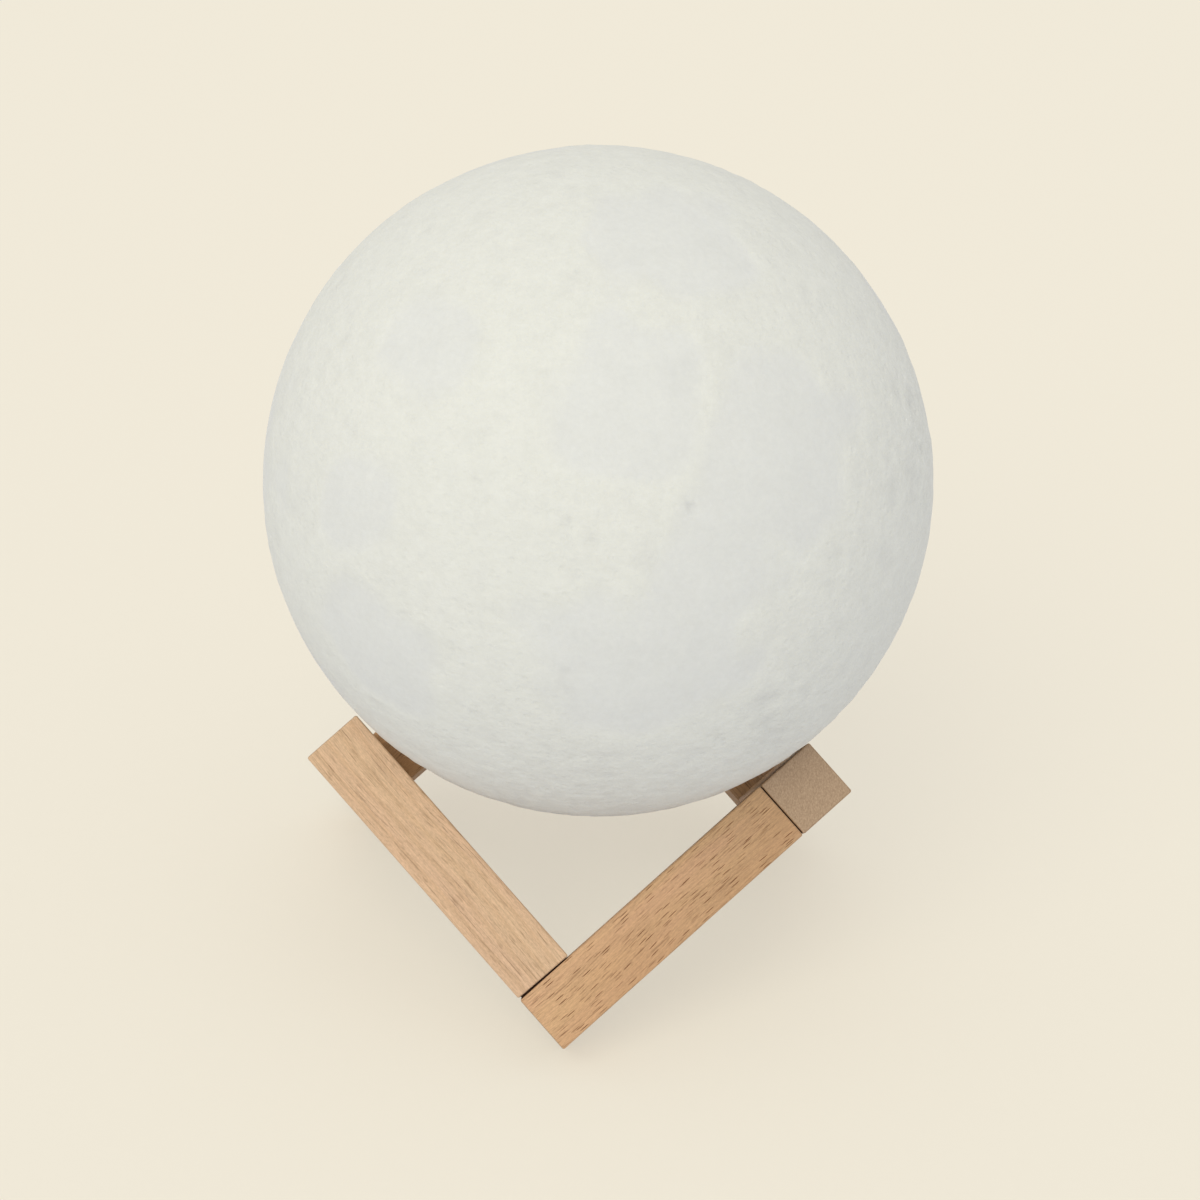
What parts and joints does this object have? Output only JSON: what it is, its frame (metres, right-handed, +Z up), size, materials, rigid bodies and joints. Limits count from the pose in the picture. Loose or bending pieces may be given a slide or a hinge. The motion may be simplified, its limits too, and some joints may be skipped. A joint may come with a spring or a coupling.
{
  "type": "moon lamp",
  "caption": "Moon-shaped globe lamp: a hollow printed shade with crater relief and its light inside, lifting off a zigzag ring stand of square beech bars.",
  "frame": {"origin": "on the table, under the middle of the shade, at the level of the stand's lowest corners", "axes": "+Z up; -Y towards the front corner of the stand, which stands on the table; +X to the right of someone facing that corner"},
  "size_m": [0.15, 0.15, 0.1882],
  "materials": {
    "beech": "planed, oiled lightly, satin",
    "dowel_beech": "turned, dry",
    "printed_shade": "3-D printed PLA in fine layers, matte, slightly translucent",
    "white_abs": "moulded, fine texture",
    "touch_steel": "brushed round",
    "socket_black": "moulded",
    "clear_pipe": "clear acrylic",
    "board_green": "solder mask on fibreglass",
    "chip_black": "moulded packages",
    "emitter_cream": "phosphor under clear resin",
    "charge_emitter": "clear resin",
    "screw_steel": "zinc plated",
    "cell_foil": "laminated foil pouch",
    "lead_red": "soft insulation",
    "lead_white": "soft insulation",
    "foam_tape": "foam tape",
    "white_board": "white solder mask on an aluminium core",
    "frosted": "frosted, translucent"
  },
  "bodies": {
    "stand": {"front_right_bar": "beech", "right_bar": "beech", "rear_right_bar": "beech", "rear_left_bar": "beech", "left_bar": "beech", "front_left_bar": "beech", "corner_dowels": "dowel_beech"},
    "lamp": {"moon_shade": "printed_shade", "base_cup": "white_abs", "touch_ring": "touch_steel", "touch_lead": "lead_white", "charging_socket": "socket_black", "charge_light_pipe": "clear_pipe", "charge_light": "charge_emitter", "main_board": "board_green", "board_parts": "chip_black", "board_screws": "screw_steel", "cell": "cell_foil", "cell_leads": "lead_red", "cell_tape": "foam_tape", "cup_cover": "white_abs", "cover_screws": "screw_steel", "light_post": "white_abs", "light_wires": "lead_white", "light_board": "white_board", "light_emitters": "emitter_cream", "frosted_cap": "frosted"}
  },
  "joints": [
    {"name": "lamp_lift", "type": "slide", "parent": "stand", "child": "lamp", "axis": [0, 0, 1], "range_m": [0, 0.1]}
  ]
}
